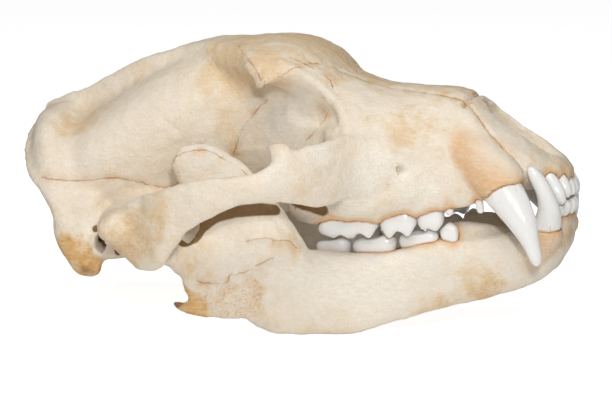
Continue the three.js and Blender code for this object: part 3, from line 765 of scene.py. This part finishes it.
def place(tree, stretch=(1, 1, 1)):
    spot = tree.nodes.new("ShaderNodeTexCoord").outputs["Object"]
    return addNode(tree, "Mapping", {"Vector": spot, "Scale": stretch}).outputs[0]


def cloud(tree, spot, size, detail=3.0):
    grain = {"Vector": spot, "Scale": 1 / (size * skull["metres"]), "Detail": detail, "Roughness": 0.6}
    return addNode(tree, "TexNoise", grain).outputs["Fac"]


def fade(tree, value, low, high, top=1.0):
    return sums(tree, "SUBTRACT", top, step(tree, value, low, high, top))


def newGroup(name):
    tree = bpy.data.node_groups.new(name, "ShaderNodeTree")
    tree.interface.new_socket("Base", in_out="INPUT", socket_type="NodeSocketColor")
    for label, kind in (("Color", "Color"), ("Roughness", "Float"), ("Height", "Float")):
        tree.interface.new_socket(label, in_out="OUTPUT", socket_type="NodeSocket" + kind)
    return tree, tree.nodes.new("NodeGroupInput").outputs, tree.nodes.new("NodeGroupOutput").inputs


boneTones = {
    "pale": (0.86, 0.81, 0.71, 1),
    "cream": (0.76, 0.64, 0.46, 1),
    "honeyStainAndShade": (0.71, 0.48, 0.23, 1),
    "tan": (0.62, 0.40, 0.19, 1),
    "amber": (0.66, 0.36, 0.09, 1),
    "umber": (0.22, 0.09, 0.02, 1),
    # dark brown of the painted shadow
    "paintedShadow": (0.15, 0.065, 0.0, 1),
    "rust": (0.52, 0.25, 0.08, 1),
    "orange": (0.70, 0.36, 0.12, 1),
    "grey": (0.62, 0.61, 0.60, 1),
    "cavity": (0.46, 0.30, 0.15, 1),
}
enamelTones = {"cream": (0.80, 0.74, 0.62, 1), "line": (0.66, 0.5, 0.32, 1), "root": (0.76, 0.62, 0.42, 1)}


def boneGroup():
    tree, given, result = newGroup("boneStainsAndShade")
    tone = boneTones
    spot = place(tree)
    broad = cloud(tree, spot, 40)
    middle = cloud(tree, spot, 9, 4.0)
    small = cloud(tree, spot, 2.6, 4.0)
    fine = cloud(tree, spot, 0.9)
    streaks = cloud(tree, place(tree, (0.14, 1, 0.8)), 1.6)

    def patch(name, spread, low, high, top):
        here = attribute(tree, name)
        noises = sums(tree, "SUBTRACT", sums(tree, "ADD", middle, broad), 1.0)
        wander = sums(tree, "MULTIPLY", noises, step(tree, here, 0.0, 0.3, spread))
        return step(tree, sums(tree, "ADD", here, wander), low, high, top)

    colour = blend(tree, step(tree, middle, 0.42, 0.7, 0.45), given["Base"], tone["cream"])
    colour = blend(tree, step(tree, broad, 0.45, 0.7, 0.35), colour, tone["cream"])
    colour = blend(tree, step(tree, small, 0.48, 0.7, 0.45), colour, tone["pale"])
    colour = blend(tree, patch("pale", 1.4, 0.1, 0.9, 0.85), colour, tone["pale"])
    # Honey patches: stain, and painted shade on the temple and under the back crest
    colour = blend(tree, patch("honeyStainAndShade", 1.7, 0.1, 1.0, 0.7), colour, tone["honeyStainAndShade"])
    lines = sums(tree, "MULTIPLY", step(tree, streaks, 0.5, 0.72), patch("honeyStainAndShade", 0.8, 0.0, 0.8, 0.45))
    colour = blend(tree, lines, colour, tone["tan"])
    colour = blend(tree, patch("grey", 1.2, 0.3, 1.0, 0.6), colour, tone["grey"])
    colour = blend(tree, step(tree, attribute(tree, "hollow"), 0.25, 1.0, 0.3), colour, tone["cavity"])
    amber = patch("amber", 1.6, 0.0, 0.9, 0.95)
    colour = blend(tree, amber, colour, tone["amber"])
    burnt = sums(tree, "MULTIPLY", amber, step(tree, middle, 0.48, 0.68, 0.75))
    colour = blend(tree, burnt, colour, tone["rust"])
    charred = sums(tree, "MULTIPLY", burnt, step(tree, small, 0.5, 0.7, 0.8))
    colour = blend(tree, charred, colour, tone["umber"])
    colour = blend(tree, patch("rust", 1.6, 0.3, 1.1, 0.5), colour, tone["tan"])
    specks = step(tree, cloud(tree, spot, 1.5), 0.5, 0.64)
    speckle = sums(tree, "MULTIPLY", specks, patch("rust", 1.2, 0.3, 1.0, 0.6))
    colour = blend(tree, speckle, colour, tone["rust"])
    pits = sums(tree, "MULTIPLY", step(tree, fine, 0.66, 0.74), step(tree, middle, 0.5, 0.7, 0.6))
    colour = blend(tree, pits, colour, tone["rust"])
    seam = attribute(tree, "seamNear")
    wash = sums(tree, "MULTIPLY", seam, step(tree, middle, 0.35, 0.7, 0.5))
    colour = blend(tree, wash, colour, tone["orange"])
    wander = sums(tree, "MULTIPLY", sums(tree, "SUBTRACT", small, 0.5), 3.0)
    away = sums(tree, "ABSOLUTE", sums(tree, "ADD", attribute(tree, "seamAcross"), wander))
    crack = fade(tree, away, 0.05, 0.5)
    crack = sums(tree, "MULTIPLY", crack, step(tree, seam, 0.5, 0.7))
    crack = sums(tree, "MULTIPLY", crack, step(tree, middle, 0.3, 0.62, 0.8))
    colour = blend(tree, crack, colour, tone["rust"])
    gum = attribute(tree, "gum")
    edge = sums(tree, "ADD", gum, sums(tree, "MULTIPLY", middle, 3.0))
    colour = blend(tree, fade(tree, edge, 2.4, 6.0, 0.75), colour, tone["orange"])
    colour = blend(tree, fade(tree, gum, 0.3, 0.8, 0.9), colour, tone["umber"])
    colour = blend(tree, step(tree, fine, 0.42, 0.72, 0.24), colour, tone["tan"])
    grainLines = cloud(tree, place(tree, (0.2, 1, 1)), 1.4, 4.0)
    colour = blend(tree, step(tree, grainLines, 0.42, 0.66, 0.45), colour, tone["cream"])
    # Umber patches: painted shade in the recesses by the jaw joint and the ear hole, dark stain elsewhere
    colour = blend(tree, patch("darkShadeAndStain", 0.5, 0.05, 0.5, 0.85), colour, tone["umber"])
    # Painted shadow: darkens the bands along the shadow lines
    colour = blend(tree, patch("shadow", 0.4, 0.02, 0.34, 0.95), colour, tone["paintedShadow"])
    feed(tree, result["Color"], colour)
    feed(tree, result["Roughness"], step(tree, middle, 0.2, 0.8))
    bumps = sums(tree, "ADD", sums(tree, "MULTIPLY", small, 0.6), sums(tree, "MULTIPLY", fine, 0.4))
    feed(tree, result["Height"], sums(tree, "SUBTRACT", bumps, sums(tree, "ADD", crack, pits)))
    return tree


def enamelGroup():
    tree, given, result = newGroup("enamelStains")
    spot = place(tree)
    middle = cloud(tree, spot, 5, 4.0)
    ridges = cloud(tree, place(tree, (1, 1, 0.09)), 1.3)
    root = attribute(tree, "root")
    colour = blend(tree, step(tree, middle, 0.45, 0.8, 0.5), given["Base"], enamelTones["cream"])
    nearGum = fade(tree, attribute(tree, "gum"), 1.0, 9.0)
    ridged = sums(tree, "MULTIPLY", nearGum, attribute(tree, "ridged"))
    lines = sums(tree, "MULTIPLY", step(tree, ridges, 0.5, 0.7, 0.6), sums(tree, "MAXIMUM", root, ridged))
    colour = blend(tree, lines, colour, enamelTones["line"])
    colour = blend(tree, step(tree, root, 0.5, 0.9, 0.75), colour, enamelTones["root"])
    gum = sums(tree, "ADD", attribute(tree, "gum"), sums(tree, "MULTIPLY", middle, 1.2))
    colour = blend(tree, fade(tree, gum, 0.7, 1.9, 0.8), colour, boneTones["orange"])
    colour = blend(tree, fade(tree, gum, 0.6, 1.1, 0.8), colour, boneTones["umber"])
    feed(tree, result["Color"], colour)
    feed(tree, result["Roughness"], step(tree, middle, 0.2, 0.9))
    feed(tree, result["Height"], sums(tree, "ADD", ridges, middle))
    return tree


gloss = {"bone": (0.42, 0.62), "enamel": (0.16, 0.3), "boneBump": 0.7, "enamelBump": 0.12,
         "bumpDistance": 0.0014, "enamelCoat": 0.3, "coatRoughness": 0.15}
baseTones = {"bone": (0.82, 0.73, 0.61), "jawBone": (0.79, 0.73, 0.64), "enamel": (0.83, 0.82, 0.80)}


def stainedMaterial(name, group, base, roughness, bump, coat=0.0):
    material = bpy.data.materials.new(name)
    material.use_nodes = True
    tree = material.node_tree
    shader = tree.nodes["Principled BSDF"]
    look = tree.nodes.new("ShaderNodeGroup")
    look.node_tree = group
    look.inputs["Base"].default_value = (*base, 1)
    tree.links.new(look.outputs["Color"], shader.inputs["Base Color"])
    rough = addNode(tree, "MapRange", {"Value": look.outputs["Roughness"], "To Min": roughness[0],
                                       "To Max": roughness[1]})
    tree.links.new(rough.outputs[0], shader.inputs["Roughness"])
    bumps = {"Height": look.outputs["Height"], "Strength": bump, "Distance": gloss["bumpDistance"]}
    relief = addNode(tree, "Bump", bumps)
    tree.links.new(relief.outputs[0], shader.inputs["Normal"])
    shader.inputs["Coat Weight"].default_value = coat
    shader.inputs["Coat Roughness"].default_value = gloss["coatRoughness"]
    return material


boneLook = boneGroup()
boneMaterial = stainedMaterial("bone", boneLook, baseTones["bone"], gloss["bone"], gloss["boneBump"])
jawMaterial = stainedMaterial("jawBone", boneLook, baseTones["jawBone"], gloss["bone"], gloss["boneBump"])
enamelMaterial = stainedMaterial("enamel", enamelGroup(), baseTones["enamel"], gloss["enamel"],
                                 gloss["enamelBump"], gloss["enamelCoat"])


# Making the skull

teeth = {"upper": [], "lower": []}
for sideName, side in (("right", -1), ("left", 1)):
    for kind in [*slimTeeth, *cheekTeeth]:
        flip = -1 if kind.startswith("upper") else 1
        if kind in slimTeeth:
            body = slimTooth(slimTeeth[kind], side)
        else:
            body = cheekTooth(cheekTeeth[kind], flip, side)
        teeth[kind[:5]].append(makePiece(f"{kind}_{sideName}_tooth", body))
print("teeth")

skullPiece = craniumBone()
cutSockets(skullPiece, teeth["upper"], skull["socketGap"])
thin(skullPiece, cranium["mostTriangles"])
stainAndShadeBone(skullPiece, cranium, teeth["upper"])
print("cranium", len(skullPiece.data.polygons))
jawPiece = jawBone()
cutSockets(jawPiece, teeth["lower"], skull["socketGap"])
stainAndShadeBone(jawPiece, jaw, teeth["lower"])
print("jaw", len(jawPiece.data.polygons))

for row, bonePiece in (("upper", skullPiece), ("lower", jawPiece)):
    boneTree = treeOf([bonePiece])
    for tooth in teeth[row]:
        co = points(tooth)
        bare = bareRoots["lower_canine" if tooth.name.startswith("lower_canine") else "others"]
        layer(tooth, "gum", gapTo(boneTree, co, reaches["toothGum"]))
        layer(tooth, "ridged", np.full(len(co), float("canine" in tooth.name)))
        layer(tooth, "root", np.clip((bare["top"] - co[:, 2]) / bare["fade"], 0, 1))
        placeMesh(tooth, tooth.name.removesuffix("_tooth"), enamelMaterial)
placeMesh(skullPiece, "cranium", boneMaterial)
placeMesh(jawPiece, "mandible", jawMaterial)
print("materials")


# Camera, floor and light

view = {"azimuth": 18.0, "elevation": 8.5, "distance": 1.3, "aim": (0.004, 0.0, 0.070),
        "lens": 125.98, "sensor": 36}
studio = {"floorHalf": 6, "lampAim": 0.07, "roomLight": 0.12, "white": (1, 1, 1, 1)}
floorLook = {"shade": (0.93, 0.93, 0.93, 1), "light": (0.96, 0.96, 0.96, 1),
             "seenGlow": 0.85, "unseenGlow": 0.1, "roughness": 0.9}
lamps = {
    "key": {"azimuth": 22, "elevation": 21.5, "distance": 1.3, "size": 0.12, "power": 5.5},
    "ceiling": {"azimuth": 4, "elevation": 62, "distance": 1.5, "size": 0.9, "power": 13.2},
}


def placeCamera():
    azimuth = math.radians(view["azimuth"])
    elevation = math.radians(view["elevation"])
    back = Vector((math.sin(azimuth) * math.cos(elevation), -math.cos(azimuth) * math.cos(elevation),
                   math.sin(elevation)))
    data = bpy.data.cameras.new("camera")
    data.lens = view["lens"]
    data.sensor_width = view["sensor"]
    camera = bpy.data.objects.new("camera", data)
    camera.location = Vector(view["aim"]) + back * view["distance"]
    camera.rotation_euler = back.to_track_quat("Z", "Y").to_euler()
    bpy.context.scene.collection.objects.link(camera)
    bpy.context.scene.camera = camera


def floorPaint():
    material = bpy.data.materials.new("floorPaint")
    material.use_nodes = True
    tree = material.node_tree
    shader = tree.nodes["Principled BSDF"]
    tint = blend(tree, cloud(tree, place(tree), 30), floorLook["shade"], floorLook["light"])
    tree.links.new(tint, shader.inputs["Base Color"])
    shader.inputs["Roughness"].default_value = floorLook["roughness"]
    shader.inputs["Emission Color"].default_value = studio["white"]
    seen = addNode(tree, "LightPath", {}).outputs["Is Camera Ray"]
    spread = {"Value": seen, "To Min": floorLook["unseenGlow"], "To Max": floorLook["seenGlow"]}
    glow = addNode(tree, "MapRange", spread).outputs[0]
    tree.links.new(glow, shader.inputs["Emission Strength"])
    return material


def placeFloor():
    bm = bmesh.new()
    bmesh.ops.create_grid(bm, x_segments=1, y_segments=1, size=studio["floorHalf"])
    floor = makePiece("floor", bm)
    floor.data.materials.append(floorPaint())


def placeLamp(name, lamp):
    azimuth, elevation = math.radians(lamp["azimuth"]), math.radians(lamp["elevation"])
    aim = Vector((0, 0, studio["lampAim"]))
    flat = math.cos(elevation) * lamp["distance"]
    rise = math.sin(elevation) * lamp["distance"]
    spot = Vector((math.sin(azimuth) * flat, -math.cos(azimuth) * flat, rise + studio["lampAim"]))
    data = bpy.data.lights.new(name, "AREA")
    data.size = lamp["size"]
    data.energy = lamp["power"]
    holder = bpy.data.objects.new(name, data)
    holder.location = spot
    holder.rotation_euler = (spot - aim).to_track_quat("Z", "Y").to_euler()
    bpy.context.scene.collection.objects.link(holder)


# The background is white to the camera and gives the skull little light.
def paintWorld():
    world = bpy.data.worlds.new("studio")
    world.use_nodes = True
    tree = world.node_tree
    background = tree.nodes["Background"]
    seen = addNode(tree, "LightPath", {}).outputs["Is Camera Ray"]
    spread = {"Value": seen, "To Min": studio["roomLight"], "To Max": 1.0}
    feed(tree, background.inputs["Strength"], addNode(tree, "MapRange", spread).outputs[0])
    background.inputs["Color"].default_value = studio["white"]
    bpy.context.scene.world = world


placeCamera()
placeFloor()
for lampName, lamp in lamps.items():
    placeLamp(lampName, lamp)
paintWorld()
bpy.context.scene.view_settings.view_transform = "Standard"
print("stage")
